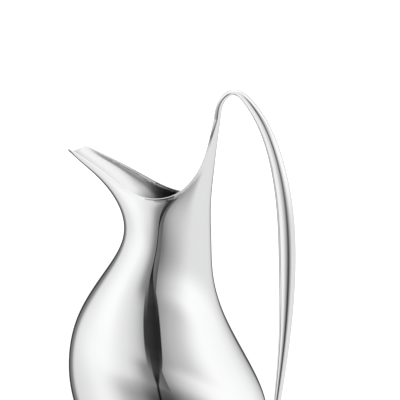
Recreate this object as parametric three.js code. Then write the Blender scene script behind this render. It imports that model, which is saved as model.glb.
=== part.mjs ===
// Silver water pitcher: polished hollowware vessel with a trough spout and a hollow loop handle.
// Millimetres, +Z up, standing face at z = 0, spout towards -X, handle towards +X, symmetric about y = 0.
import * as THREE from 'three';

const wall = 1.2; // sheet thickness of the vessel
const rootWall = 0.9; // sheet thickness where the handle grows out of the mouth
const thinning = { from: 225, to: 255 }; // heights between which the wall thins to rootWall
const gap = 0.3; // clearance left between soldered pieces
const tubeWall = 0.8; // wall of the hollow handle
const tenonFit = 0.5; // clearance between a tenon and the tube it fills

// Horizontal sections of the vessel, bottom to top. Each section blends a front ellipse (reach xFront,
// half length aFront, half width wFront) into a back ellipse (xBack, aBack, wBack).
const sections = [
  { z: 0, xFront: -45, aFront: 39.5, wFront: 35, xBack: 34, aBack: 39.5, wBack: 35 },
  { z: 6, xFront: -60, aFront: 55, wFront: 45.5, xBack: 50, aBack: 55, wBack: 44 },
  { z: 20, xFront: -75.5, aFront: 69.3, wFront: 57, xBack: 63.5, aBack: 69.3, wBack: 50 },
  { z: 45, xFront: -86, aFront: 73.5, wFront: 65, xBack: 66, aBack: 73.5, wBack: 56 },
  { z: 80, xFront: -89, aFront: 67, wFront: 68, xBack: 49, aBack: 69, wBack: 62 },
  { z: 115, xFront: -81, aFront: 54, wFront: 56.5, xBack: 30.3, aBack: 56, wBack: 49.5 },
  { z: 145, xFront: -62.5, aFront: 43.5, wFront: 43.5, xBack: 22.7, aBack: 44, wBack: 36 },
  { z: 172, xFront: -46.5, aFront: 37, wFront: 36.5, xBack: 21.6, aBack: 34, wBack: 29 },
  { z: 198, xFront: -50.5, aFront: 36.5, wFront: 34, xBack: 21.6, aBack: 26, wBack: 23 },
  { z: 220, xFront: -72, aFront: 32.5, wFront: 25.5, xBack: 24, aBack: 19.3, wBack: 17 },
  { z: 238, xFront: -95.5, aFront: 18, wFront: 17, xBack: 26.7, aBack: 13.3, wBack: 11 },
  { z: 264, xFront: -102, aFront: 10, wFront: 17, xBack: 30.8, aBack: 4, wBack: 3.9 },
];

// Lip line as angle round the section (0 = back, 180 = front) and height, from the handle root down to
// the throat, up to the spout corner and across the dipped pouring edge. The last point mirrors the edge.
const lipPoints = [
  [48.5, 264],
  [44.5, 247],
  [44.5, 232],
  [51, 221.5],
  [60, 213.5],
  [71.5, 207.8],
  [86, 205.3],
  [100, 206.9],
  [110, 211.8],
  [114.5, 218.5],
  [117.5, 228],
  [127, 237.8],
  [139, 237.3],
  [160, 235.7],
  [180, 235.1],
  [200, 235.7],
];
const lipRootEnd = 4; // index of the lip point where the root walls begin
const lipSpoutStart = 8; // index where the spout walls begin
const lipCorner = 11;
const lipCentre = 14;

// Centreline of the handle in the plane y = 0 with its half thickness in that plane.
const handlePoints = [
  { x: 28.7, z: 264, half: 2.1 },
  { x: 33.3, z: 279.3, half: 2 },
  { x: 40.5, z: 284.4, half: 2.1 },
  { x: 56.5, z: 274, half: 3.4 },
  { x: 70.5, z: 250, half: 4.7 },
  { x: 81.3, z: 209.6, half: 6 },
  { x: 84.9, z: 155.4, half: 6.3 },
  { x: 83.2, z: 106.6, half: 4.5 },
  { x: 75.7, z: 42, half: 2.3 },
];
const handleFoot = { z: 27, halfHeight: 6, halfWidth: 4.6 }; // where the handle lands on the belly
const footPull = { handle: 17, belly: 15 }; // how strongly the foot leaves the handle and meets the belly
const rootEase = 26; // stretch over which the root contour turns into the oval handle section
const lipShare = 0.66; // part of the root contour that follows the vessel; the rest closes its front
const frontBulge = 0.8; // how far that closed front stands proud of the lip

// Natural cubic spline through (t, v).
function spline(t, v) {
  const n = t.length;
  const m = new Array(n).fill(0);
  const c = new Array(n).fill(0);
  const d = new Array(n).fill(0);
  for (let i = 1; i < n - 1; i += 1) {
    const h0 = t[i] - t[i - 1];
    const h1 = t[i + 1] - t[i];
    const rhs = 6 * ((v[i + 1] - v[i]) / h1 - (v[i] - v[i - 1]) / h0);
    const diag = 2 * (h0 + h1) - h0 * c[i - 1];
    c[i] = h1 / diag;
    d[i] = (rhs - h0 * d[i - 1]) / diag;
  }
  for (let i = n - 2; i > 0; i -= 1) m[i] = d[i] - c[i] * m[i + 1];
  return (s) => {
    let i = 0;
    while (i < n - 2 && s > t[i + 1]) i += 1;
    const h = t[i + 1] - t[i];
    const a = (t[i + 1] - s) / h;
    const b = (s - t[i]) / h;
    return a * v[i] + b * v[i + 1] + ((a * a * a - a) * m[i] + (b * b * b - b) * m[i + 1]) * h * h / 6;
  };
}

const mix = (a, b, t) => a + (b - a) * t;
const clamp01 = (t) => Math.min(1, Math.max(0, t));
const quintic = (t) => t * t * t * (t * (6 * t - 15) + 10);

const heights = sections.map((s) => s.z);
const along = (name) => spline(heights, sections.map((s) => s[name]));
const form = {
  xFront: along('xFront'),
  aFront: along('aFront'),
  wFront: along('wFront'),
  xBack: along('xBack'),
  aBack: along('aBack'),
  wBack: along('wBack'),
};

// Outer surface of the half vessel at an angle in degrees and a height, y >= 0.
function vesselPoint(angle, z) {
  const c = Math.cos(THREE.MathUtils.degToRad(angle));
  const s = Math.sin(THREE.MathUtils.degToRad(angle));
  const back = quintic(clamp01((135 - angle) / 100));
  const x = mix(form.xFront(z) + form.aFront(z) * (1 + c), form.xBack(z) - form.aBack(z) * (1 - c), back);
  const y = mix(form.wFront(z), form.wBack(z), back) * s;
  return new THREE.Vector3(x, y, z);
}

function vesselNormal(angle, z) {
  const e = 0.05;
  const round = vesselPoint(angle + e, z).sub(vesselPoint(angle - e, z));
  const rise = vesselPoint(angle, z + e).sub(vesselPoint(angle, z - e));
  const normal = rise.cross(round);
  if (Math.abs(Math.sin(THREE.MathUtils.degToRad(angle))) < 1e-6) normal.y = 0;
  return normal.normalize().negate();
}

const lipSteps = [0];
for (let i = 1; i < lipPoints.length; i += 1) {
  const across = 0.6 * (lipPoints[i][0] - lipPoints[i - 1][0]);
  lipSteps.push(lipSteps[i - 1] + Math.hypot(across, lipPoints[i][1] - lipPoints[i - 1][1]));
}
const lipAngle = spline(lipSteps, lipPoints.map((p) => p[0]));
const lipHeight = spline(lipSteps, lipPoints.map((p) => p[1]));
const lipAt = (s) => [lipAngle(s), lipHeight(s)];

// Lip height above a throat angle, found by halving along the lip.
function throatHeight(angle) {
  let low = lipSteps[lipRootEnd];
  let high = lipSteps[lipSpoutStart];
  for (let i = 0; i < 40; i += 1) {
    const mid = (low + high) / 2;
    if (lipAngle(mid) < angle) low = mid;
    else high = mid;
  }
  return lipHeight((low + high) / 2);
}

function meshFrom(name, vertices, triangles, material) {
  const geometry = new THREE.BufferGeometry();
  geometry.setAttribute('position', new THREE.Float32BufferAttribute(vertices.flatMap((v) => v.toArray()), 3));
  geometry.setIndex(triangles);
  geometry.computeVertexNormals();
  const mesh = new THREE.Mesh(geometry, material);
  mesh.name = name;
  return mesh;
}

// Closes a thin sheet: outer grid, inner grid and a strip along their shared free edges.
function closeSheet(outer, inner, faces) {
  const count = outer.length;
  const triangles = [];
  const edges = new Map();
  for (const [a, b, c] of faces) {
    triangles.push(a, b, c, count + a, count + c, count + b);
    for (const [p, q] of [[a, b], [b, c], [c, a]]) {
      const back = `${q}_${p}`;
      if (edges.has(back)) edges.delete(back);
      else edges.set(`${p}_${q}`, [p, q]);
    }
  }
  for (const [p, q] of edges.values()) triangles.push(p, count + p, q, q, count + p, count + q);
  return { vertices: outer.concat(inner), triangles };
}

// Half of the vessel. side = 1 keeps y > 0, side = -1 mirrors it.
function vesselHalf(name, side, material) {
  const backColumns = 7;
  const throatColumns = 7;
  const frontColumns = 9;
  const columns = backColumns + throatColumns + frontColumns;
  const lowRows = [0, 3, 7, 13, 22, 36, 54, 74, 94, 114, 134, 152, 169, 185]; // row heights below the mouth
  const midRows = 4;
  const rootRows = 9;
  const spoutRows = 6;
  const base = lowRows[lowRows.length - 1];
  const [rootAngle, rootStart] = lipPoints[lipRootEnd];
  const [spoutAngle, spoutStart] = lipPoints[lipSpoutStart];
  const columnAngle = (i) => {
    if (i <= backColumns) return rootAngle * i / backColumns;
    if (i <= backColumns + throatColumns) {
      return mix(rootAngle, spoutAngle, (i - backColumns) / throatColumns);
    }
    return mix(spoutAngle, 180, (i - backColumns - throatColumns) / frontColumns);
  };
  const columnTop = (i) => {
    if (i <= backColumns) return rootStart;
    if (i >= backColumns + throatColumns) return spoutStart;
    return throatHeight(columnAngle(i));
  };
  const grid = [];
  const rows = [];
  const add = (angle, z) => grid.push([angle, z]) - 1;
  for (const z of lowRows) {
    rows.push(Array.from({ length: columns + 1 }, (_, i) => add(columnAngle(i), z)));
  }
  for (let j = 1; j <= midRows; j += 1) {
    const height = (i) => mix(base, columnTop(i), j / midRows);
    rows.push(Array.from({ length: columns + 1 }, (_, i) => add(columnAngle(i), height(i))));
  }
  const patches = [rows];
  const top = rows[rows.length - 1];
  const rootPatch = [top.slice(0, backColumns + 1)];
  for (let j = 1; j <= rootRows; j += 1) {
    const [angle, z] = lipAt(mix(lipSteps[lipRootEnd], 0, j / rootRows));
    rootPatch.push(rootPatch[0].map((_, i) => add(angle * i / backColumns, z)));
  }
  patches.push(rootPatch);
  const spoutPatch = [top.slice(backColumns + throatColumns)];
  for (let j = 1; j <= spoutRows; j += 1) {
    const q = j / spoutRows;
    const edge = lipAt(mix(lipSteps[lipSpoutStart], lipSteps[lipCorner], q));
    const corner = lipPoints[lipCorner];
    const centre = lipPoints[lipCentre];
    spoutPatch.push(spoutPatch[0].map((_, i) => {
      const p = i / frontColumns;
      const rim = lipAt(mix(lipSteps[lipCorner], lipSteps[lipCentre], p));
      const angle = mix(edge[0], 180, p) + q * (rim[0] - mix(corner[0], 180, p));
      const z = mix(edge[1], mix(spoutStart, centre[1], q), p) + q * (rim[1] - mix(corner[1], centre[1], p));
      return add(angle, z);
    }));
  }
  patches.push(spoutPatch);
  const faces = [];
  for (const patch of patches) {
    for (let j = 1; j < patch.length; j += 1) {
      for (let i = 1; i < patch[j].length; i += 1) {
        const a = patch[j - 1][i - 1];
        const b = patch[j - 1][i];
        const c = patch[j][i];
        const d = patch[j][i - 1];
        faces.push([a, b, c], [a, c, d]);
      }
    }
  }
  const outer = grid.map(([angle, z]) => vesselPoint(angle, z));
  const inner = grid.map(([angle, z], i) => {
    const thickness = mix(wall, rootWall, clamp01((z - thinning.from) / (thinning.to - thinning.from)));
    return outer[i].clone().addScaledVector(vesselNormal(angle, z), -thickness);
  });
  const sheet = closeSheet(outer, inner, faces);
  for (const v of sheet.vertices) {
    v.y = side * (v.y + gap / 2);
    v.z = Math.max(v.z, 0);
  }
  const triangles = side > 0 ? sheet.triangles : flip(sheet.triangles);
  return meshFrom(name, sheet.vertices, triangles, material);
}

function flip(triangles) {
  const out = [];
  for (let i = 0; i < triangles.length; i += 3) out.push(triangles[i], triangles[i + 2], triangles[i + 1]);
  return out;
}

// Handle centreline by chord length.
const handleSteps = [0];
for (let i = 1; i < handlePoints.length; i += 1) {
  const p = handlePoints[i - 1];
  const q = handlePoints[i];
  handleSteps.push(handleSteps[i - 1] + Math.hypot(q.x - p.x, q.z - p.z));
}
const handleLength = handleSteps[handleSteps.length - 1];
const handleX = spline(handleSteps, handlePoints.map((p) => p.x));
const handleZ = spline(handleSteps, handlePoints.map((p) => p.z));
const handleHalf = spline(handleSteps, handlePoints.map((p) => p.half));
const handleWidth = (half) => 1.8 + half * 0.5; // half width across the handle, flatter where it is thick

function handleFrame(s) {
  const e = 0.02;
  const centre = new THREE.Vector3(handleX(s), 0, handleZ(s));
  const forward = new THREE.Vector3(handleX(s + e) - handleX(s - e), 0, handleZ(s + e) - handleZ(s - e));
  forward.normalize();
  const outward = new THREE.Vector3(-forward.z, 0, forward.x);
  const half = handleHalf(s);
  return { centre, forward, outward, half, width: handleWidth(half) };
}

// Point on the handle skin; turn = 0 faces away from the finger opening, 180 faces into it.
function handlePoint(s, turn, inset) {
  const f = handleFrame(s);
  const c = Math.cos(turn);
  const w = Math.sin(turn);
  return f.centre.clone()
    .addScaledVector(f.outward, (f.half - inset) * c)
    .add(new THREE.Vector3(0, (f.width - inset) * w, 0));
}

// Point on the flared foot between the end of the sweep (q = 0) and the belly (q = 1).
function footPoint(q, turn, inset) {
  const start = handlePoint(handleLength, turn, inset);
  const forward = handleFrame(handleLength).forward;
  const height = handleFoot.z - (handleFoot.halfHeight - inset) * Math.cos(turn);
  const width = form.wBack(height);
  const angle = THREE.MathUtils.radToDeg(Math.asin((handleFoot.halfWidth - inset) * Math.sin(turn) / width));
  const normal = vesselNormal(angle, height);
  const end = vesselPoint(angle, height).addScaledVector(normal, gap);
  const a = forward.multiplyScalar(footPull.handle);
  const b = normal.clone().multiplyScalar(-footPull.belly);
  const q2 = q * q;
  const q3 = q2 * q;
  return start.multiplyScalar(2 * q3 - 3 * q2 + 1)
    .addScaledVector(a, q3 - 2 * q2 + q)
    .addScaledVector(end, 3 * q2 - 2 * q3)
    .addScaledVector(b, q3 - q2);
}

// Root contour carried into the first part of the handle, then eased into the oval section.
function handleSkin(s, turn, inset) {
  const oval = handlePoint(s, turn, inset);
  const ease = 1 - quintic(clamp01(s / rootEase));
  if (ease <= 0) return oval;
  const [jointAngle, jointHeight] = lipPoints[0];
  const share = 1 - turn / Math.PI;
  const lip = vesselPoint(jointAngle, jointHeight);
  const flat = new THREE.Vector3();
  if (share <= lipShare) {
    flat.copy(vesselPoint(jointAngle * share / lipShare, jointHeight));
  } else {
    const t = (share - lipShare) / (1 - lipShare) * Math.PI / 2;
    flat.set(lip.x - frontBulge * Math.sin(t), lip.y * Math.cos(t), jointHeight);
  }
  const start = handleFrame(0);
  const frame = handleFrame(s);
  const middle = new THREE.Vector3((form.xBack(jointHeight) + lip.x - frontBulge) / 2, 0, jointHeight);
  const local = flat.sub(middle);
  const size = Math.hypot(local.x, local.y);
  local.multiplyScalar((size - inset) / size);
  const lift = frame.centre.clone().sub(start.centre).add(middle);
  const root = lift.addScaledVector(frame.outward, -local.x).add(new THREE.Vector3(0, local.y, 0));
  return oval.lerp(root, ease);
}

// Half tube from rings; each ring is a function of turn, the halves meet in the plane y = 0.
function handleHalfShell(name, side, material) {
  const segments = 7;
  const sweepRings = 28;
  const footRings = 6;
  const outer = [];
  const inner = [];
  const faces = [];
  const total = sweepRings + footRings;
  for (let j = 0; j <= total; j += 1) {
    for (let i = 0; i <= segments; i += 1) {
      const turn = Math.PI * i / segments;
      if (j <= sweepRings) {
        const s = handleLength * Math.pow(j / sweepRings, 1.5);
        outer.push(handleSkin(s, turn, 0));
        inner.push(handleSkin(s, turn, tubeWall));
      } else {
        outer.push(footPoint((j - sweepRings) / footRings, turn, 0));
        inner.push(footPoint((j - sweepRings) / footRings, turn, tubeWall));
      }
      if (i > 0 && j > 0) {
        const a = (j - 1) * (segments + 1) + i - 1;
        const b = a + 1;
        const c = b + segments + 1;
        faces.push([a, c, b], [a, c - 1, c]);
      }
    }
  }
  const sheet = closeSheet(outer, inner, faces);
  for (const v of sheet.vertices) v.y = side * (v.y + gap / 2);
  const jointLift = new THREE.Vector3(0, 0, gap);
  for (let i = 0; i <= segments; i += 1) {
    sheet.vertices[i].add(jointLift);
    sheet.vertices[outer.length + i].add(jointLift);
  }
  const triangles = side > 0 ? sheet.triangles : flip(sheet.triangles);
  return meshFrom(name, sheet.vertices, triangles, material);
}

// Solid rod made of rings of points around a path.
function rod(name, rings, material) {
  const around = rings[0].length;
  const vertices = rings.flat();
  const triangles = [];
  for (let j = 1; j < rings.length; j += 1) {
    for (let i = 0; i < around; i += 1) {
      const a = (j - 1) * around + i;
      const b = (j - 1) * around + (i + 1) % around;
      triangles.push(a, b + around, b, a, a + around, b + around);
    }
  }
  const first = vertices.push(centreOf(rings[0])) - 1;
  const last = vertices.push(centreOf(rings[rings.length - 1])) - 1;
  const end = (rings.length - 1) * around;
  for (let i = 0; i < around; i += 1) {
    const next = (i + 1) % around;
    triangles.push(first, i, next, last, end + next, end + i);
  }
  return meshFrom(name, vertices, triangles, material);
}

function centreOf(ring) {
  const sum = new THREE.Vector3();
  for (const p of ring) sum.add(p);
  return sum.multiplyScalar(1 / ring.length);
}

function tenonRing(point) {
  const around = 10;
  const ring = [];
  for (let i = 0; i < around; i += 1) {
    const turn = 2 * Math.PI * i / around;
    const p = point(Math.min(turn, 2 * Math.PI - turn));
    if (turn > Math.PI + 1e-6) p.y = -p.y;
    ring.push(p);
  }
  return ring;
}

// Oval tenon that closes the top of the root channel and runs up inside the handle.
function topTenon(material) {
  const rings = [];
  const step = 2.6;
  const start = 0.6; // keeps the ring at the joint inside the handle tube
  const channelFit = 0.1; // extra room towards the back of the channel
  for (let j = -3; j <= 6; j += 1) {
    const s = step * j;
    rings.push(tenonRing((turn) => {
      const p = handleSkin(Math.max(s, 0) + start, turn, tubeWall + tenonFit);
      if (s >= 0) return p;
      const lean = form.xBack(lipPoints[0][1] + s) - form.xBack(lipPoints[0][1]);
      return new THREE.Vector3(p.x + lean - channelFit, p.y, p.z + s);
    }));
  }
  return rod('handle_top_tenon', rings, material);
}

// Oval tenon inside the lower end of the handle.
function footTenon(material) {
  const rings = [];
  const length = 16; // reach up the handle above the foot
  const footEnd = 0.95; // stops just short of the belly
  for (let j = 0; j <= 4; j += 1) {
    const s = handleLength - length * (1 - j / 4);
    rings.push(tenonRing((turn) => handlePoint(s, turn, tubeWall + tenonFit)));
  }
  for (let j = 1; j <= 5; j += 1) {
    rings.push(tenonRing((turn) => footPoint(footEnd * j / 5, turn, tubeWall + tenonFit)));
  }
  return rod('handle_foot_tenon', rings, material);
}

// Dished base disc: flat standing ring at z = 0 and a raised centre. The profile is share of the radius
// and height.
function basePlate(material) {
  const around = 48;
  const seatFit = 0.55; // clearance inside the vessel wall
  const profile = [
    [1, 0],
    [0.93, 0],
    [0.9, 0.7],
    [0.86, 1.4],
    [0.55, 1.9],
    [0, 2.1],
  ];
  const centreX = (sections[0].xFront + sections[0].xBack) / 2;
  const length = sections[0].aBack - wall - seatFit;
  const width = sections[0].wBack - wall - seatFit;
  const vertices = [];
  const triangles = [];
  const ringAt = (scale, z) => {
    for (let i = 0; i < around; i += 1) {
      const t = 2 * Math.PI * i / around;
      vertices.push(new THREE.Vector3(centreX + length * scale * Math.cos(t), width * scale * Math.sin(t), z));
    }
  };
  for (const [scale, z] of profile.slice(0, -1)) ringAt(scale, z);
  for (const [scale, z] of profile.slice(0, -1).reverse()) ringAt(scale, z + wall);
  const ringCount = 2 * (profile.length - 1);
  for (let j = 1; j <= ringCount; j += 1) {
    for (let i = 0; i < around; i += 1) {
      const next = (i + 1) % around;
      const a = (j - 1) * around + i;
      const b = (j - 1) * around + next;
      const c = (j % ringCount) * around + next;
      const d = (j % ringCount) * around + i;
      if (j !== profile.length - 1) triangles.push(a, c, b, a, d, c);
    }
  }
  const peak = profile[profile.length - 1][1];
  const under = vertices.push(new THREE.Vector3(centreX, 0, peak)) - 1;
  const over = vertices.push(new THREE.Vector3(centreX, 0, peak + wall)) - 1;
  const lastUnder = (profile.length - 2) * around;
  for (let i = 0; i < around; i += 1) {
    const next = (i + 1) % around;
    triangles.push(under, lastUnder + next, lastUnder + i);
    triangles.push(over, lastUnder + around + i, lastUnder + around + next);
  }
  return meshFrom('base_plate', vertices, triangles, material);
}

const mirror = new THREE.MeshStandardMaterial({ color: 0xd9dadb, roughness: 0.06, metalness: 1 });
mirror.name = 'polished_metal';
const satin = new THREE.MeshStandardMaterial({ color: 0xb9babb, roughness: 0.35, metalness: 1 });
satin.name = 'satin_metal';

const pitcher = new THREE.Group();
pitcher.name = 'silver_water_pitcher';
pitcher.add(vesselHalf('body_left_shell', -1, mirror));
pitcher.add(vesselHalf('body_right_shell', 1, mirror));
pitcher.add(basePlate(satin));
pitcher.add(handleHalfShell('handle_left_shell', -1, mirror));
pitcher.add(handleHalfShell('handle_right_shell', 1, mirror));
pitcher.add(topTenon(satin));
pitcher.add(footTenon(satin));

export default pitcher;
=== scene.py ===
import math

import bmesh
import bpy
import numpy as np
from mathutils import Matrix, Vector


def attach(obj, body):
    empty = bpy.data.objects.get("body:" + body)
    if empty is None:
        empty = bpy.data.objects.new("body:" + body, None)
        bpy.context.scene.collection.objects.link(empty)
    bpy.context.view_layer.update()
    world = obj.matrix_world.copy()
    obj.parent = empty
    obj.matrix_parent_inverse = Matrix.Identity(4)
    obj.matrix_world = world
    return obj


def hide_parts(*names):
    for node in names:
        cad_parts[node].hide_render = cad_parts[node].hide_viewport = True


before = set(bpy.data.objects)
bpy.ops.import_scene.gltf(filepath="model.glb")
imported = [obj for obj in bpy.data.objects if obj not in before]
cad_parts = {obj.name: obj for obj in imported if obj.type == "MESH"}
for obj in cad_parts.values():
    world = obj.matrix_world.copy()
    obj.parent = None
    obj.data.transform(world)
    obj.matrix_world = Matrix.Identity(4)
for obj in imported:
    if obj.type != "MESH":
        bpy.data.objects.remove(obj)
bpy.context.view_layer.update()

# The surface is described in millimetres and scaled when a mesh is made.
MM = 0.001
WALL = 1.2  # sheet thickness of the vessel
ROOT_WALL = 0.9  # sheet thickness where the handle grows out of the mouth
TUBE_WALL = 0.8
LIP_WALL = 1.0
DEEP_WALL = 1.7  # wall of the neck and the spout, away from the lip
LIP_EASE = 6.0  # reach of the easing from the lip's wall to the full one
THICKENING = (110, 180)  # heights between which the wall grows to DEEP_WALL
ROLL, ROLL_REACH = 0.6, 2.6  # how far the lip rolls outwards, and over what height
ROLL_FADE = 228  # height from which the roll fades out towards the handle
ROOT_X, ROOT_Z = (-45, -25), (212, 237)  # x and heights where the mouth turns into the thin root
FRONT_ANGLE, BACK_ANGLE = 135, 35  # the front and back sections blend between these
NECK_HEIGHT = 185  # the rows of the mesh are level up to here
BLUR = 0.02  # step for slopes, in degrees or millimetres

# Horizontal sections: height, then front reach, half length and half width, then the same at the back.
SECTIONS = np.array([
    [0, -45, 39.5, 35, 34, 39.5, 35],
    [6, -60, 55, 45.5, 50, 55, 44],
    [20, -75.5, 69.3, 57, 63.5, 69.3, 50],
    [45, -86, 73.5, 65, 66, 73.5, 56],
    [80, -89, 67, 68, 49, 69, 62],
    [115, -81, 54, 56.5, 30.3, 56, 49.5],
    [145, -62.5, 43.5, 43.5, 22.7, 44, 36],
    [172, -46.5, 37, 36.5, 21.6, 34, 29],
    [198, -50.5, 36.5, 34, 21.6, 26, 23],
    [220, -72, 32.5, 25.5, 24, 19.3, 17],
    [238, -95.5, 18, 17, 26.7, 13.3, 11],
    [264, -102, 10, 17, 30.8, 4, 3.9],
])

# Lip line: angle round the section (0 = back, 180 = front) and height.
LIP = np.array([
    [48.5, 264], [44.5, 247], [44.5, 232], [51, 221.5], [60, 213.5], [71.5, 207.8],
    [86, 205.3], [100, 206.9], [110, 211.8], [114.5, 218.5], [117.5, 228],
    [127, 237.8], [139, 237.3], [160, 235.7], [180, 235.1], [200, 235.7],
])
ROOT_END, SPOUT_START, CORNER, CENTRE = 4, 8, 11, 14
JOINT_ANGLE, JOINT_HEIGHT = LIP[0]

# Handle centreline in the plane y = 0: x, z and half thickness.
HANDLE = np.array([
    [28.7, 264, 2.1], [33.3, 279.3, 2], [40.5, 284.4, 2.1], [56.5, 274, 3.4], [70.5, 250, 4.7],
    [81.3, 209.6, 6], [84.9, 155.4, 6.3], [83.2, 106.6, 4.5], [75.7, 42, 2.3],
])
FOOT_HEIGHT, FOOT_HALF_HEIGHT, FOOT_HALF_WIDTH = 27, 6, 4.6
FOOT_RUN = 17  # how strongly the foot carries on in the direction of the handle
FOOT_FLARE, FOOT_PRESS = 1.1, 14  # how it spreads on the belly, and how squarely it lands


def spline(t, v):
    """Natural cubic spline through (t, v)."""
    t = np.asarray(t, float)
    v = np.asarray(v, float)
    h = np.diff(t)
    n = len(t)
    a = np.eye(n)
    r = np.zeros(n)
    for i in range(1, n - 1):
        a[i, i - 1:i + 2] = h[i - 1], 2 * (h[i - 1] + h[i]), h[i]
        r[i] = 6 * ((v[i + 1] - v[i]) / h[i] - (v[i] - v[i - 1]) / h[i - 1])
    m = np.linalg.solve(a, r)

    def at(s):
        i = np.clip(np.searchsorted(t, s, "right") - 1, 0, n - 2)
        p = (t[i + 1] - s) / h[i]
        q = (s - t[i]) / h[i]
        bend = (p ** 3 - p) * m[i] + (q ** 3 - q) * m[i + 1]
        return p * v[i] + q * v[i + 1] + bend * h[i] ** 2 / 6

    return at


def quintic(t):
    t = np.clip(t, 0, 1)
    return t ** 3 * (t * (6 * t - 15) + 10)


def between(value, low, high):
    """0 below low, 1 above high and smooth in between."""
    return quintic((value - low) / (high - low))


def mix(a, b, t):
    return a + (b - a) * t


def unit(v):
    return v / np.linalg.norm(v, axis=-1, keepdims=True)


FORM = [spline(SECTIONS[:, 0], SECTIONS[:, k]) for k in range(1, 7)]


def vessel_point(angle, z):
    """Outer skin of the y >= 0 half at an angle in degrees and a height."""
    angle, z = np.broadcast_arrays(np.asarray(angle, float), np.asarray(z, float))
    c = np.cos(np.radians(angle))
    s = np.sin(np.radians(angle))
    front, front_half, front_width, back, back_half, back_width = [f(z) for f in FORM]
    share = quintic((FRONT_ANGLE - angle) / (FRONT_ANGLE - BACK_ANGLE))
    x = mix(front + front_half * (1 + c), back - back_half * (1 - c), share)
    y = mix(front_width, back_width, share) * s
    return np.stack([x, y, z], axis=-1)


def vessel_normal(angle, z):
    angle = np.asarray(angle, float)
    round_ = vessel_point(angle + BLUR, z) - vessel_point(angle - BLUR, z)
    rise = vessel_point(angle, z + BLUR) - vessel_point(angle, z - BLUR)
    return unit(np.cross(round_, rise))


def steps_along(points, stretch):
    gaps = np.diff(points, axis=0) * stretch
    return np.concatenate([[0], np.cumsum(np.hypot(gaps[:, 0], gaps[:, 1]))])


LIP_STEPS = steps_along(LIP, np.array([0.6, 1.0]))  # a degree round the lip counts as 0.6 mm
lip_angle = spline(LIP_STEPS, LIP[:, 0])
lip_height = spline(LIP_STEPS, LIP[:, 1])


def throat_step(angle):
    """Place along the lip where it passes an angle of the throat."""
    low = np.full_like(angle, LIP_STEPS[ROOT_END])
    high = np.full_like(angle, LIP_STEPS[SPOUT_START])
    for _ in range(40):
        mid = (low + high) / 2
        under = lip_angle(mid) < angle
        low = np.where(under, mid, low)
        high = np.where(under, high, mid)
    return (low + high) / 2


class Sheet:
    """A thin skin: grid points with normals, quads, and the free edges that get a round rim."""

    def __init__(self):
        self.params = []
        self.count = 0
        self.quads = []

    def add(self, *columns):
        block = np.stack(np.broadcast_arrays(*columns), axis=-1).reshape(-1, len(columns))
        first = self.count
        self.params.append(block)
        self.count += len(block)
        return np.arange(first, self.count)

    def patch(self, rows):
        for low, high in zip(rows[:-1], rows[1:]):
            self.quads.append(np.stack([low[:-1], low[1:], high[1:], high[:-1]], axis=-1))

    def all_params(self):
        return np.concatenate(self.params)

    def all_quads(self):
        return np.concatenate(self.quads)


def free_edges(quads):
    """Directed edges that belong to one quad only."""
    edges = np.concatenate([quads[:, [0, 1]], quads[:, [1, 2]], quads[:, [2, 3]], quads[:, [3, 0]]])
    seen = {(int(a), int(b)) for a, b in edges}
    return [edge for edge in seen if (edge[1], edge[0]) not in seen]


def close_sheet(outer, inner, normal, quads, rim=None, inside=None, rim_steps=6):
    """Vertices, normals, faces and a kind per face (0 outer and rim, 1 inner) of a closed thin skin.

    rim maps a free vertex to the direction in which its round edge bulges.
    """
    rim = rim or {}
    count = len(outer)
    vertices = [outer, inner]
    normals = [normal, -normal if inside is None else inside]
    faces = [tuple(q) for q in quads.tolist()]
    kinds = [0] * len(faces)
    faces += [tuple(v + count for v in reversed(q)) for q in quads.tolist()]
    kinds += [1] * (len(faces) - len(kinds))
    chain = {}
    total = 2 * count
    for v, out in rim.items():
        middle = (outer[v] + inner[v]) / 2
        across = outer[v] - middle
        radius = np.linalg.norm(across)
        turn = np.pi * np.arange(1, rim_steps) / rim_steps
        ray = np.cos(turn)[:, None] * across / radius + np.sin(turn)[:, None] * out
        vertices.append(middle + radius * ray)
        normals.append(ray)
        chain[v] = [v] + list(range(total, total + rim_steps - 1)) + [v + count]
        total += rim_steps - 1
    ends = {}
    for a, b in free_edges(quads):
        if a in chain and b in chain:
            for k in range(rim_steps):
                faces.append((chain[b][k], chain[a][k], chain[a][k + 1], chain[b][k + 1]))
                kinds.append(0)
            ends[a] = ends.get(a, 0) + 1
            ends[b] = ends.get(b, 0) + 1
        else:
            faces.append((b, a, a + count, b + count))
            kinds.append(0)
    for v, uses in ends.items():
        if uses == 1:
            faces.append(tuple(chain[v]))
            kinds.append(0)
    return np.concatenate(vertices), np.concatenate(normals), faces, kinds


def make_object(name, vertices, normals, faces, kinds, materials, mirrored=False):
    """Closed smooth mesh in metres with its analytic normals."""
    vertices = vertices * MM
    if mirrored:
        vertices = vertices * [1, -1, 1]
        normals = normals * [1, -1, 1] if normals is not None else None
    mesh = bpy.data.meshes.new(name)
    mesh.from_pydata(vertices.tolist(), [], faces)
    for material in materials:
        mesh.materials.append(material)
    mesh.polygons.foreach_set("material_index", np.asarray(kinds, dtype=np.int32))
    mesh.polygons.foreach_set("use_smooth", np.ones(len(faces), dtype=bool))
    work = bmesh.new()
    work.from_mesh(mesh)
    bmesh.ops.recalc_face_normals(work, faces=work.faces)
    work.to_mesh(mesh)
    work.free()
    if normals is not None:
        mesh.normals_split_custom_set_from_vertices(unit(normals).tolist())
    piece = bpy.data.objects.new(name, mesh)
    bpy.context.collection.objects.link(piece)
    return piece


def stand_for(piece, node):
    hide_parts(node)
    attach(piece, "root")


# ---------------------------------------------------------------- vessel

def vessel_rows():
    """Heights of the level rows, closer together near the base, where the profile turns quickly."""
    crowding = 0.35
    t = np.linspace(0, 1, 121)
    return NECK_HEIGHT * (crowding * t ** 2 + (1 - crowding) * t)


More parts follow.
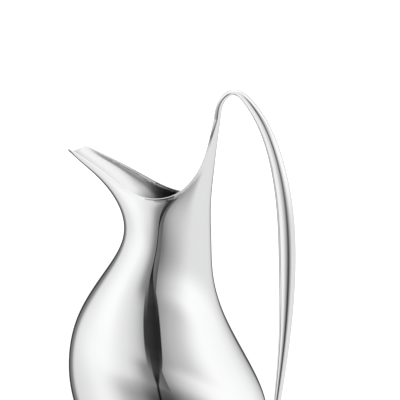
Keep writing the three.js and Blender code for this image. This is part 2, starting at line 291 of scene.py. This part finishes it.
def build_vessel_sheet():
    """Grid of the half vessel: body and neck up to the throat, then the root and the spout above it."""
    back, throat, front = 44, 56, 64
    neck_rows, root_rows, spout_rows = 30, 110, 60
    root_angle, root_start = LIP[ROOT_END]
    spout_angle, spout_start = LIP[SPOUT_START]
    throat_angles = np.linspace(root_angle, spout_angle, throat + 1)
    throat_tops = lip_height(throat_step(throat_angles))
    angles = np.concatenate([
        np.linspace(0, root_angle, back + 1)[:-1],
        throat_angles,
        np.linspace(spout_angle, 180, front + 1)[1:],
    ])
    tops = np.concatenate([np.full(back, root_start), throat_tops, np.full(front, spout_start)])
    # The search for the throat is close, and its two ends have to meet the root and the spout.
    tops[back] = root_start
    tops[back + throat] = spout_start
    sheet = Sheet()
    low = vessel_rows()
    rows = [sheet.add(angles, z) for z in low]
    for t in np.linspace(0, 1, neck_rows + 1)[1:]:
        rows.append(sheet.add(angles, mix(low[-1], tops, t)))
    sheet.patch(rows)
    rim = list(rows[-1][back:back + throat + 1])

    root = [rows[-1][:back + 1]]
    share = np.linspace(0, 1, back + 1)
    for t in np.linspace(0, 1, root_rows + 1)[1:]:
        s = mix(LIP_STEPS[ROOT_END], 0, t)
        root.append(sheet.add(lip_angle(s) * share, lip_height(s)))
    sheet.patch(root)
    rim = [row[-1] for row in root[:0:-1]] + rim

    spout = [rows[-1][back + throat:]]
    share = np.linspace(0, 1, front + 1)
    edge = mix(LIP_STEPS[CORNER], LIP_STEPS[CENTRE], share)
    for q in np.linspace(0, 1, spout_rows + 1)[1:]:
        s = mix(LIP_STEPS[SPOUT_START], LIP_STEPS[CORNER], q)
        side = mix(LIP[CORNER, 0], 180, share)
        angle = mix(lip_angle(s), 180, share) + q * (lip_angle(edge) - side)
        middle = mix(spout_start, LIP[CENTRE, 1], q)
        level = mix(LIP[CORNER, 1], LIP[CENTRE, 1], share)
        height = mix(lip_height(s), middle, share) + q * (lip_height(edge) - level)
        spout.append(sheet.add(angle, height))
    sheet.patch(spout)
    rim += [row[0] for row in spout[1:]] + list(spout[-1][1:])
    return sheet, [int(v) for v in rim]


def towards_lip(points, lip):
    """Distance to the lip and the unit direction to its nearest point."""
    nearest = np.empty_like(points)
    batch = 2000  # keeps the table of distances small
    for start in range(0, len(points), batch):
        part = points[start:start + batch]
        gaps = ((part[:, None] - lip[None]) ** 2).sum(axis=-1)
        nearest[start:start + batch] = lip[gaps.argmin(axis=1)]
    reach = nearest - points
    distance = np.linalg.norm(reach, axis=-1)
    return distance, reach / np.maximum(distance, 1e-6)[:, None]


def vessel_mesh():
    """Half vessel with a slightly rolled lip, whose wall eases to a fine edge."""
    sheet, rim = build_vessel_sheet()
    angle, z = sheet.all_params().T
    outer = vessel_point(angle, z)
    normal = vessel_normal(angle, z)
    distance, up = towards_lip(outer, outer[rim])
    up[rim] = unit(np.cross(normal[rim], np.gradient(outer[rim], axis=0)))
    up = up - (up * normal).sum(axis=-1, keepdims=True) * normal
    up[outer[:, 1] < 1e-4, 1] = 0
    on_root = between(outer[:, 0], *ROOT_X) * between(z, *ROOT_Z)
    close = np.clip(1 - distance / ROLL_REACH, 0, 1)
    roll = ROLL * (1 - between(z, ROLL_FADE, JOINT_HEIGHT))
    outer = outer + (roll * close ** 2)[:, None] * unit(normal * [1, 1, 0])
    normal = unit(normal - (2 * roll * close / ROLL_REACH)[:, None] * up)
    fade = np.exp(-distance / LIP_EASE)
    full = mix(WALL, DEEP_WALL, between(z, *THICKENING) * (1 - on_root))
    thin = mix(LIP_WALL, ROOT_WALL, on_root)
    inner = outer - normal * mix(full, thin, fade)[:, None]
    slope = (full - thin) * fade / LIP_EASE
    inside = unit(slope[:, None] * up - normal)
    inner[:, 1] = np.maximum(inner[:, 1], 0)
    out = unit(np.cross(normal[rim], np.gradient(outer[rim], axis=0)))
    out[-1] = unit(out[-1] * [1, 0, 1])
    bulge = {v: out[i] for i, v in enumerate(rim)}
    return close_sheet(outer, inner, normal, sheet.all_quads(), bulge, inside)


# ---------------------------------------------------------------- handle

HANDLE_STEPS = steps_along(HANDLE[:, :2], 1.0)
HANDLE_LENGTH = HANDLE_STEPS[-1]
handle_x = spline(HANDLE_STEPS, HANDLE[:, 0])
handle_z = spline(HANDLE_STEPS, HANDLE[:, 1])
handle_half = spline(HANDLE_STEPS, HANDLE[:, 2])
EASE_LENGTH = 26  # stretch over which the root contour eases into the oval section
LIP_SHARE = 0.66  # part of the handle's half outline that follows the root, before its closed front
FRONT_BULGE = 0.8  # how far the closed front of the handle stands proud of the lip
THIN_HALF_DEPTH, THIN_HALF_WIDTH = 2, 2.8  # section near the top of the loop
WIDENING = 0.5  # growth of the width with the depth


def handle_width(half):
    """Half width of the handle where its half depth is half."""
    return THIN_HALF_WIDTH + (half - THIN_HALF_DEPTH) * WIDENING


def handle_frame(s):
    """Centre of the handle at a length s, its direction, and the way to the outside of the loop."""
    centre = np.stack([handle_x(s), 0 * s, handle_z(s)], axis=-1)
    forward = unit(np.stack([
        handle_x(s + BLUR) - handle_x(s - BLUR), 0 * s, handle_z(s + BLUR) - handle_z(s - BLUR),
    ], axis=-1))
    outward = np.stack([-forward[..., 2], 0 * s, forward[..., 0]], axis=-1)
    return centre, forward, outward


def oval_point(s, turn, inset):
    centre, _, outward = handle_frame(s)
    half = handle_half(s)
    deep = ((half - inset) * np.cos(turn))[..., None] * outward
    wide = (handle_width(half) - inset) * np.sin(turn)
    return centre + deep + wide[..., None] * np.array([0, 1, 0])


def root_contour(turn):
    """Section of the root at the joint, closed at the front, as x and y."""
    share = 1 - turn / np.pi
    lip = vessel_point(JOINT_ANGLE, JOINT_HEIGHT)
    arc = vessel_point(JOINT_ANGLE * np.clip(share / LIP_SHARE, 0, 1), JOINT_HEIGHT)
    t = np.clip((share - LIP_SHARE) / (1 - LIP_SHARE), 0, 1) * np.pi / 2
    x = np.where(share <= LIP_SHARE, arc[..., 0], lip[0] - FRONT_BULGE * np.sin(t))
    y = np.where(share <= LIP_SHARE, arc[..., 1], lip[1] * np.cos(t))
    middle = (FORM[3](JOINT_HEIGHT) + lip[0] - FRONT_BULGE) / 2
    return x - middle, y, middle


def handle_skin(s, turn, inset):
    """Skin of the sweep: the contour of the root at the joint, then the oval."""
    s, turn = np.broadcast_arrays(s, turn)
    oval = oval_point(s, turn, inset)
    x, y, middle = root_contour(turn)
    size = np.hypot(x, y)
    x = x * (size - inset) / size
    y = y * (size - inset) / size
    centre, _, outward = handle_frame(s)
    start = np.array([middle - handle_x(0.0), 0, JOINT_HEIGHT - handle_z(0.0)])
    root = centre + start - x[..., None] * outward + y[..., None] * np.array([0, 1, 0])
    ease = 1 - quintic(s / EASE_LENGTH)
    return mix(oval, root, ease[..., None])


def foot_point(q, turn, inset):
    """Flared foot from the end of the sweep (q = 0) to the belly (q = 1)."""
    q, turn = np.broadcast_arrays(q, turn)
    start = oval_point(np.full(q.shape, HANDLE_LENGTH), turn, inset)
    forward = handle_frame(np.float64(HANDLE_LENGTH))[1]
    height = FOOT_HEIGHT - (FOOT_HALF_HEIGHT - inset) * np.cos(turn)
    angle = np.degrees(np.arcsin((FOOT_HALF_WIDTH - inset) * np.sin(turn) / FORM[5](height)))
    normal = vessel_normal(angle, height)
    end = vessel_point(angle, height)
    centre = vessel_point(0.0, FOOT_HEIGHT)
    flare = end - centre
    q = q[..., None]
    q2 = q * q
    q3 = q2 * q
    return (
        start * (2 * q3 - 3 * q2 + 1)
        + forward * FOOT_RUN * (q3 - 2 * q2 + q)
        + end * (3 * q2 - 2 * q3)
        + (flare * FOOT_FLARE - normal * FOOT_PRESS) * (q3 - q2)
    )


def skin_normals(points):
    """Normals of a half-tube grid [ring, turn], mirrored across y = 0 at both free sides."""
    flip = np.array([1, -1, 1])
    padded = np.concatenate([points[:, 1:2] * flip, points, points[:, -2:-1] * flip], axis=1)
    along = np.gradient(points, axis=0)
    round_ = (padded[:, 2:] - padded[:, :-2]) / 2
    return unit(np.cross(along, round_))


def handle_mesh():
    """Half handle, with its rings closer together at the joint."""
    turns = np.linspace(0, np.pi, 29)
    s = HANDLE_LENGTH * np.linspace(0, 1, 301) ** 1.25
    q = np.linspace(0, 1, 49)[1:]
    rings = len(s) + len(q)

    def skin(inset):
        sweep = handle_skin(s[:, None], turns[None, :], inset)
        foot = foot_point(q[:, None], turns[None, :], inset)
        return np.concatenate([sweep, foot])

    points = skin(0)
    normal = skin_normals(points)
    ids = np.arange(rings * len(turns)).reshape(rings, len(turns))
    quads = np.stack([ids[:-1, :-1], ids[1:, :-1], ids[1:, 1:], ids[:-1, 1:]], axis=-1).reshape(-1, 4)
    inner = skin(TUBE_WALL)
    return close_sheet(points.reshape(-1, 3), inner.reshape(-1, 3), normal.reshape(-1, 3), quads)


# ---------------------------------------------------------------- base and tenon

BASE_GAP = 0.4  # between the base disc and the wall round it
BASE_OUTER = SECTIONS[0, 2] - WALL - BASE_GAP
DOME_SHARE, RING_SHARE = 0.84, 0.92  # radii at which the dome ends and the standing ring begins
DOME_TOP, DOME_EDGE = 2.1, 1.5  # heights of the dome's underside
BASE_ROUND = 0.5  # radius of the disc's outer corners
TENON_DOWN, TENON_UP = 8, 15  # reach into the root and into the handle
TENON_GAP = 0.5
TENON_NOSE = 2.0  # length of the rounded lower end


def lathe(name, profile, centre_x, stretch, segments, material):
    """Closed turned piece from (radius, height) points, from the axis below to the axis above."""
    turn = 2 * np.pi * np.arange(segments) / segments
    vertices = []
    for radius, height in profile[1:-1]:
        ring = np.stack([
            centre_x + radius * np.cos(turn),
            radius * stretch * np.sin(turn),
            np.full(segments, height),
        ], axis=-1)
        vertices.append(ring)
    vertices = np.concatenate(vertices + [
        [[centre_x, 0, profile[0][1]]],
        [[centre_x, 0, profile[-1][1]]],
    ])
    rings = len(profile) - 2
    bottom = rings * segments
    faces = []
    for i in range(segments):
        j = (i + 1) % segments
        faces.append((bottom, j, i))
        last = (rings - 1) * segments
        faces.append((bottom + 1, last + i, last + j))
        for k in range(rings - 1):
            a = k * segments
            faces.append((a + i, a + j, a + segments + j, a + segments + i))
    return make_object(name, vertices, None, faces, [0] * len(faces), [material])


def base_profile():
    """Standing ring, step and shallow dome, with every corner rounded, then the same shape above."""
    under = [(0, DOME_TOP)]
    for t in np.linspace(0, 1, 30)[1:]:
        under.append((BASE_OUTER * DOME_SHARE * t, mix(DOME_TOP, DOME_EDGE, t ** 2)))
    for t in np.linspace(0, 1, 16)[1:]:
        under.append((BASE_OUTER * mix(DOME_SHARE, RING_SHARE, t), mix(DOME_EDGE, 0.0, quintic(t))))
    flat = BASE_OUTER - BASE_ROUND
    under.append((flat, 0.0))
    edge = []
    for a in np.linspace(0.2, 1.57, 7):
        edge.append((flat + BASE_ROUND * math.sin(a), BASE_ROUND - BASE_ROUND * math.cos(a)))
    top_edge = [(r, WALL - z) for r, z in reversed(edge)]
    above = [(r, z + WALL) for r, z in reversed(under)]
    return under + edge + top_edge + above


def top_tenon(material):
    """Plug in the top of the root channel that runs up inside the handle."""
    segments = 36
    root_shift = 0.1  # keeps the lower part clear of the root's back wall
    ahead = 0.6  # the handle's section is taken a little past the joint
    tip = 0.02  # size of the lower end against the full section
    turn = 2 * np.pi * np.arange(segments) / segments
    folded = np.minimum(turn, 2 * np.pi - turn)
    side = np.where(turn > np.pi, -1.0, 1.0)
    rings = []
    for s in np.concatenate([np.linspace(-TENON_DOWN, 0, 30)[:-1], np.linspace(0, TENON_UP, 30)]):
        ring = handle_skin(np.float64(max(s, 0) + ahead), folded, TUBE_WALL + TENON_GAP)
        ring[:, 1] *= side
        if s < 0:
            ring[:, 0] += FORM[3](JOINT_HEIGHT + s) - FORM[3](JOINT_HEIGHT) - root_shift
            ring[:, 2] += s
            nose = np.clip((s + TENON_DOWN) / TENON_NOSE, 0, 1)
            size = math.sqrt(1 - (1 - nose) ** 2) if nose < 1 else 1.0
            middle = ring.mean(axis=0)
            ring = middle + (ring - middle) * max(size, tip)
        rings.append(ring)
    vertices = np.concatenate(rings)
    faces = []
    for k in range(len(rings) - 1):
        a = k * segments
        for i in range(segments):
            j = (i + 1) % segments
            faces.append((a + i, a + j, a + segments + j, a + segments + i))
    faces.append(tuple(range(segments)))
    faces.append(tuple(range((len(rings) - 1) * segments, len(rings) * segments)))
    return make_object("top_tenon", vertices, None, faces, [0] * len(faces), [material])


# ---------------------------------------------------------------- materials

class Tree:
    """Small helper that adds shader nodes and links them."""

    def __init__(self, tree):
        self.tree = tree
        tree.nodes.clear()

    def node(self, kind, **inputs):
        made = self.tree.nodes.new(kind)
        for name, value in inputs.items():
            self.put(made.inputs[name.replace("_", " ")], value)
        return made

    def put(self, socket, value):
        if isinstance(value, bpy.types.NodeSocket):
            self.tree.links.new(value, socket)
        else:
            socket.default_value = value

    def math(self, operation, *values):
        made = self.tree.nodes.new("ShaderNodeMath")
        made.operation = operation
        for socket, value in zip(made.inputs, values):
            self.put(socket, value)
        return made.outputs[0]

    def map_range(self, kind, value, low, high, start, end):
        made = self.tree.nodes.new("ShaderNodeMapRange")
        made.interpolation_type = kind
        names = "Value", "From Min", "From Max", "To Min", "To Max"
        for name, given in zip(names, (value, low, high, start, end)):
            self.put(made.inputs[name], given)
        return made.outputs[0]

    def smooth(self, value, low, high, start=0.0, end=1.0):
        return self.map_range("SMOOTHSTEP", value, low, high, start, end)

    def linear(self, value, low, high, start, end):
        return self.map_range("LINEAR", value, low, high, start, end)

    def blend(self, factor, a, b):
        """a where factor is 0, b where it is 1."""
        return self.math("ADD", self.math("MULTIPLY", a, self.math("SUBTRACT", 1.0, factor)),
                         self.math("MULTIPLY", b, factor))


def new_material(name):
    material = bpy.data.materials.new(name)
    material.use_nodes = True
    return material, Tree(material.node_tree)


def finish_material(tree, shader):
    output = tree.node("ShaderNodeOutputMaterial")
    tree.tree.links.new(shader.outputs[0], output.inputs["Surface"])


def noise(tree, vector, scale, detail):
    made = tree.node("ShaderNodeTexNoise", Vector=vector, Scale=scale, Detail=detail)
    return made.outputs[0]


def object_coords(tree, scale=(1, 1, 1)):
    coords = tree.node("ShaderNodeTexCoord")
    mapping = tree.node("ShaderNodeMapping", Vector=coords.outputs["Object"])
    mapping.inputs["Scale"].default_value = scale
    return mapping.outputs[0]


def mirror_metal():
    """Hand-polished metal: clear reflections, faint wiping haze and the finest polishing lines."""
    clear, hazy = 0.016, 0.05  # roughness
    material, tree = new_material("mirror_metal")
    haze = noise(tree, object_coords(tree), scale=22.0, detail=4.0)
    lines = noise(tree, object_coords(tree, (1.0, 1.0, 0.06)), scale=900.0, detail=2.0)
    haze_part = tree.smooth(haze, 0.45, 0.75, clear, hazy)
    roughness = tree.math("ADD", haze_part, tree.math("MULTIPLY", lines, 0.012))
    bump = tree.node("ShaderNodeBump", Strength=0.012, Distance=0.00002, Height=lines)
    shader = tree.node("ShaderNodeBsdfPrincipled", Roughness=roughness, Normal=bump.outputs[0])
    shader.inputs["Base Color"].default_value = (0.9, 0.902, 0.905, 1)
    shader.inputs["Metallic"].default_value = 1.0
    finish_material(tree, shader)
    return material


def inside_metal():
    """Inside of the sheet: satin and rougher towards the depth of the throat, with shade painted into
    its colour, which gets darker there.
    """
    deep, throat = 0.12, 0.22  # heights between which the satin gets finer
    dark_end, bright_start = 0.217, 0.236  # heights between which the painted shade in the colour gives way to a brighter colour
    dark, bright = 0.28, 0.86
    material, tree = new_material("inside_metal")
    coords = tree.node("ShaderNodeTexCoord")
    x, _, height = tree.node("ShaderNodeSeparateXYZ", Vector=coords.outputs["Object"]).outputs
    satin = tree.smooth(height, deep, throat, 0.36, 0.28)
    # The painted light reaches lower in the open spout, where more light comes in.
    spout_side = tree.math("MINIMUM", x, -0.012)
    openness = tree.math("ADD", height, tree.math("MULTIPLY", spout_side, -0.6))
    # Painted shade: the base colour is dark deep in the throat and bright near the opening.
    painted_shade = tree.smooth(openness, dark_end, bright_start, dark, bright)
    cloud = noise(tree, object_coords(tree), scale=30.0, detail=4.0)
    roughness = tree.math("ADD", satin, tree.math("MULTIPLY", cloud, 0.04))
    shader = tree.node("ShaderNodeBsdfPrincipled", Roughness=roughness)
    painted_shade_colour = tree.node("ShaderNodeCombineColor", Red=painted_shade, Green=painted_shade, Blue=painted_shade)
    tree.put(shader.inputs["Base Color"], painted_shade_colour.outputs[0])
    shader.inputs["Metallic"].default_value = 1.0
    finish_material(tree, shader)
    return material


def turned_metal(centre_x):
    """Spun base disc: fine concentric lines round its centre."""
    smoother, rougher = 0.2, 0.36
    material, tree = new_material("turned_metal")
    coords = tree.node("ShaderNodeTexCoord")
    across, y, _ = tree.node("ShaderNodeSeparateXYZ", Vector=coords.outputs["Object"]).outputs
    x = tree.math("SUBTRACT", across, centre_x * MM)
    squares = tree.math("ADD", tree.math("MULTIPLY", x, x), tree.math("MULTIPLY", y, y))
    radius = tree.math("SQRT", squares)
    at = tree.node("ShaderNodeCombineXYZ", X=radius)
    lines = noise(tree, at.outputs[0], scale=3500.0, detail=3.0)
    roughness = tree.linear(lines, 0.3, 0.7, smoother, rougher)
    bump = tree.node("ShaderNodeBump", Strength=0.25, Distance=0.00003, Height=lines)
    shader = tree.node("ShaderNodeBsdfPrincipled", Roughness=roughness, Normal=bump.outputs[0])
    shader.inputs["Base Color"].default_value = (0.8, 0.802, 0.805, 1)
    shader.inputs["Metallic"].default_value = 1.0
    finish_material(tree, shader)
    return material


# ---------------------------------------------------------------- studio

CAMERA_AZIMUTH = math.radians(24)
CAMERA_RISE = math.radians(7)
CAMERA_DISTANCE = 1.35
CAMERA_TARGET = Vector((0.0145, 0.0, 0.203))
VIEW_WIDTH = 0.3  # metres across the frame at the target

BACKGROUND = 1.1  # brightness of what the camera sees behind the object
FLOOR_SIZE = 40
FLOOR_DROP = 0.0002  # keeps the floor just under the standing ring

# Brightness of the studio at stops of azimuth, counted in degrees from the camera to the right.
FULL = 1.15  # brightest value of the studio
TABLE = [
    (-180, 0.76), (-125, 0.8), (-95, 0.9), (-78, 1.0), (-63, 0.97), (-50, 0.76), (-41, 0.54),
    (-32, 0.4), (-22, 0.26), (-16, 0.1), (-10, 0.05), (0, 0.05), (5, 0.12), (10, 0.27),
    (22, 0.45), (34, 0.78), (45, 0.84), (150, 0.84), (180, 0.76),
]
LOW_WALL = [
    (-180, 0.82), (-135, 0.86), (-95, 1.02), (-60, 1.06), (-44, 0.93), (-28, 0.68), (-19, 0.47),
    (-13, 0.32), (-8, 0.2), (-4, 0.15), (0, 0.15), (4, 0.22), (8, 0.26), (13, 0.36), (22, 0.52),
    (32, 0.66), (50, 0.84), (180, 0.82),
]
MIDDLE_WALL = [
    (-180, 0.75), (-135, 0.86), (-95, 1.05), (-60, 1.08), (-44, 0.97), (-28, 0.8), (-20, 0.6),
    (-15, 0.38), (-11, 0.27), (-6, 0.22), (0, 0.26), (6, 0.34), (12, 0.5), (20, 0.68),
    (30, 0.86), (42, 1.03), (60, 1.1), (110, 1.05), (130, 0.92), (150, 0.72), (180, 0.75),
]
HIGH_WALL = [
    (-180, 0.8), (-135, 0.86), (-95, 1.08), (-60, 1.1), (-44, 0.96), (-28, 0.82), (-19, 0.7),
    (-13, 0.58), (-8, 0.4), (-2, 0.26), (4, 0.28), (10, 0.36), (16, 0.42), (22, 0.5),
    (32, 0.58), (42, 0.7), (52, 0.86), (64, 1.02), (80, 1.1), (115, 1.0), (135, 0.84),
    (180, 0.8),
]
CEILING = [(-180, 1.14), (-60, 1.14), (-20, 0.92), (0, 0.86), (20, 0.86), (60, 1.05), (180, 1.14)]
# Factor on the light that comes from behind the object.
BACKDROP = [
    (-180, 1.0), (-168, 1.0), (-163, 0.0), (-156, 0.0), (-152, 0.27), (-143, 0.27), (-138, 0.7),
    (-130, 1.0), (0, 1.0), (130, 1.0), (147, 0.8), (155, 0.4), (159, 0.02), (165, 0.0),
    (170, 1.0), (180, 1.0),
]

# Heights in degrees above the horizon between which one part of the studio gives way to the next.
TABLE_TO_LOW = (-20, 9)
LOW_TO_MIDDLE = (-4, 15)
MIDDLE_TO_HIGH = (22, 34)
HIGH_TO_CEILING = (41, 60)
BACKDROP_FOOT, BACKDROP_HEAD = (-45, -20), (18, 40)

# The dark gap in front. A row of four gives two heights, and the value at each.
GAP_START = (-3, 3)  # heights between which the gap begins
GAP_LEFT = (4, 30, -12, -8)  # azimuth of its left edge
GAP_LEFT_SOFTNESS = (14, 30, 5, 1.2)
GAP_RIGHT = (0, 24, 3, 4.5)  # azimuth of its right edge
GAP_RIGHT_SPREAD = (24, 42, 0, 8.5)  # added to it at the top
GAP_RIGHT_SOFTNESS = 0.6
GAP_LIGHT = (-11, 5, 0.27, 0.1)  # brightness in the gap at two azimuths
GAP_FALL = (20, 38, 1.0, 0.22)  # factor on it

# The black slit in the middle of the gap.
SLIT_AZIMUTH = (-30, 34, -12, 1.4)
SLIT_HALF_WIDTH = (4, 34, 1.0, 5.5)
SLIT_CORE, SLIT_RIM = 0.6, 1.2  # where it turns from dark to light, in half widths
SLIT_LIGHT = (12, 30, 0.1, 0.45)  # part of the light that is left in it
SLIT_END = (32, 40)  # heights between which it fades


def add_camera():
    data = bpy.data.cameras.new("camera")
    data.sensor_width = 36
    data.lens = data.sensor_width * CAMERA_DISTANCE / VIEW_WIDTH
    data.clip_end = 100
    camera = bpy.data.objects.new("camera", data)
    bpy.context.collection.objects.link(camera)
    out = Vector((
        math.sin(CAMERA_AZIMUTH) * math.cos(CAMERA_RISE),
        -math.cos(CAMERA_AZIMUTH) * math.cos(CAMERA_RISE),
        math.sin(CAMERA_RISE),
    ))
    camera.location = CAMERA_TARGET + out * CAMERA_DISTANCE
    camera.rotation_euler = out.to_track_quat("Z", "Y").to_euler()
    bpy.context.scene.camera = camera


def add_floor():
    """Pale floor with a soft contact shadow; the polished metal mirrors the studio table instead."""
    mesh = bpy.data.meshes.new("floor")
    corners = [(x * FLOOR_SIZE, y * FLOOR_SIZE, 0) for x, y in ((-1, -1), (1, -1), (1, 1), (-1, 1))]
    mesh.from_pydata(corners, [], [(0, 1, 2, 3)])
    floor = bpy.data.objects.new("floor", mesh)
    floor.location = (0, 0, -FLOOR_DROP)
    bpy.context.collection.objects.link(floor)
    material, tree = new_material("floor")
    matte = tree.node("ShaderNodeBsdfDiffuse")
    matte.inputs["Color"].default_value = (0.85, 0.85, 0.85, 1)
    glow = tree.node("ShaderNodeEmission", Strength=0.55)
    both = tree.node("ShaderNodeAddShader")
    tree.tree.links.new(matte.outputs[0], both.inputs[0])
    tree.tree.links.new(glow.outputs[0], both.inputs[1])
    finish_material(tree, both)
    mesh.materials.append(material)
    floor.visible_glossy = False


def around(tree, azimuth, stops):
    """Brightness by azimuth, smooth between the stops, with values up to FULL."""
    made = tree.node("ShaderNodeValToRGB", Fac=tree.linear(azimuth, -180, 180, 0, 1))
    ramp = made.color_ramp
    ramp.interpolation = "B_SPLINE"
    for index, (angle, value) in enumerate(stops):
        place = min((angle + 180) / 360, 0.9999)
        element = ramp.elements[0] if index == 0 else ramp.elements.new(place)
        level = value / FULL
        element.color = (level, level, level, 1)
    # A new ramp has an element of its own at the far end.
    last = ramp.elements[len(ramp.elements) - 1]
    last.color = ramp.elements[len(ramp.elements) - 2].color
    return tree.math("MULTIPLY", made.outputs["Color"], FULL)


def direction_angles(tree):
    """Azimuth, counted from the camera's side to the right, and height above the horizon, in degrees."""
    coords = tree.node("ShaderNodeTexCoord")
    x, y, z = tree.node("ShaderNodeSeparateXYZ", Vector=coords.outputs["Generated"]).outputs
    c = math.cos(CAMERA_AZIMUTH)
    s = math.sin(CAMERA_AZIMUTH)
    side = tree.math("ADD", tree.math("MULTIPLY", x, c), tree.math("MULTIPLY", y, s))
    front = tree.math("SUBTRACT", tree.math("MULTIPLY", x, s), tree.math("MULTIPLY", y, c))
    azimuth = tree.math("DEGREES", tree.math("ARCTAN2", side, front))
    height = tree.math("DEGREES", tree.math("ARCSINE", z))
    return azimuth, height


def slit_shade(tree, azimuth, height):
    """Factor for the slit: a thin black line near the table that widens and fades towards the top."""
    off_centre = tree.math("SUBTRACT", azimuth, tree.linear(height, *SLIT_AZIMUTH))
    distance = tree.math("ABSOLUTE", off_centre)
    widths_off = tree.math("DIVIDE", distance, tree.linear(height, *SLIT_HALF_WIDTH))
    dark = tree.smooth(widths_off, SLIT_CORE, SLIT_RIM, tree.linear(height, *SLIT_LIGHT), 1.0)
    return tree.blend(tree.smooth(height, *SLIT_END), dark, 1.0)


def gap_shadow(tree, azimuth, height):
    """1 inside the dim gap: soft on its left side, crisp on its right side, wider at the top."""
    past_left = tree.math("SUBTRACT", azimuth, tree.linear(height, *GAP_LEFT))
    softness = tree.linear(height, *GAP_LEFT_SOFTNESS)
    left = tree.smooth(tree.math("DIVIDE", past_left, softness), 0, 1)
    spread = tree.linear(height, *GAP_RIGHT_SPREAD)
    edge = tree.math("ADD", tree.linear(height, *GAP_RIGHT), spread)
    past_right = tree.math("SUBTRACT", azimuth, edge)
    right = tree.smooth(past_right, -GAP_RIGHT_SOFTNESS, GAP_RIGHT_SOFTNESS, 1.0, 0.0)
    above = tree.smooth(height, *GAP_START)
    return tree.math("MULTIPLY", tree.math("MULTIPLY", left, right), above)


def studio_light(tree):
    """Brightness of the studio by direction.

    Tall soft walls stand on both sides of a dark gap in front, above a grey table, under a pale ceiling.
    """
    azimuth, height = direction_angles(tree)
    light = around(tree, azimuth, TABLE)
    walls = (TABLE_TO_LOW, LOW_WALL), (LOW_TO_MIDDLE, MIDDLE_WALL), (MIDDLE_TO_HIGH, HIGH_WALL)
    for change, wall in walls:
        light = tree.blend(tree.smooth(height, *change), light, around(tree, azimuth, wall))
    fall = tree.linear(height, *GAP_FALL)
    gloom = tree.math("MULTIPLY", tree.linear(azimuth, *GAP_LIGHT), fall)
    light = tree.blend(gap_shadow(tree, azimuth, height), light, gloom)
    light = tree.math("MULTIPLY", light, slit_shade(tree, azimuth, height))
    ceiling = around(tree, azimuth, CEILING)
    light = tree.blend(tree.smooth(height, *HIGH_TO_CEILING), light, ceiling)

    # Dark edges and a grey return on the backdrop behind the object.
    low_end = tree.smooth(height, *BACKDROP_FOOT)
    high_end = tree.smooth(height, *BACKDROP_HEAD, 1.0, 0.0)
    band = tree.math("MULTIPLY", low_end, high_end)
    shade = tree.blend(band, 1.0, around(tree, azimuth, BACKDROP))
    return tree.math("MULTIPLY", light, shade)


def add_world():
    """The camera sees a plain white background, and the metal mirrors the studio."""
    world = bpy.data.worlds.new("studio")
    world.use_nodes = True
    bpy.context.scene.world = world
    tree = Tree(world.node_tree)
    white = (1, 1, 1, 1)
    seen = tree.node("ShaderNodeBackground", Color=white, Strength=BACKGROUND)
    lit = tree.node("ShaderNodeBackground", Color=white, Strength=studio_light(tree))
    ray = tree.node("ShaderNodeLightPath")
    both = tree.node("ShaderNodeMixShader", Fac=ray.outputs["Is Camera Ray"])
    tree.tree.links.new(lit.outputs[0], both.inputs[1])
    tree.tree.links.new(seen.outputs[0], both.inputs[2])
    output = tree.node("ShaderNodeOutputWorld")
    tree.tree.links.new(both.outputs[0], output.inputs["Surface"])


# ---------------------------------------------------------------- scene

base_centre = (SECTIONS[0, 1] + SECTIONS[0, 4]) / 2
mirror = mirror_metal()
inside = inside_metal()
turned = turned_metal(base_centre)

vessel = vessel_mesh()
for name, mirrored in (("body_left", True), ("body_right", False)):
    half = make_object(name, *vessel, [mirror, inside], mirrored)
    stand_for(half, name + "_shell")

handle = handle_mesh()
for name, mirrored in (("handle_left", True), ("handle_right", False)):
    half = make_object(name, *handle, [mirror, inside], mirrored)
    half.visible_glossy = False  # its mirror image would read as a seam on the vessel
    stand_for(half, name + "_shell")

base_stretch = (SECTIONS[0, 3] - WALL - BASE_GAP) / BASE_OUTER
base = lathe("base_disc", base_profile(), base_centre, base_stretch, segments=192, material=turned)
stand_for(base, "base_plate")
plug = top_tenon(mirror)
plug.visible_glossy = False  # like the handle round it
stand_for(plug, "handle_top_tenon")

foot_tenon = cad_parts["handle_foot_tenon"]
foot_tenon.data.materials.clear()
foot_tenon.data.materials.append(turned)
foot_tenon.visible_glossy = False  # like the handle round it

add_camera()
add_floor()
add_world()
bpy.context.scene.view_settings.view_transform = "Standard"
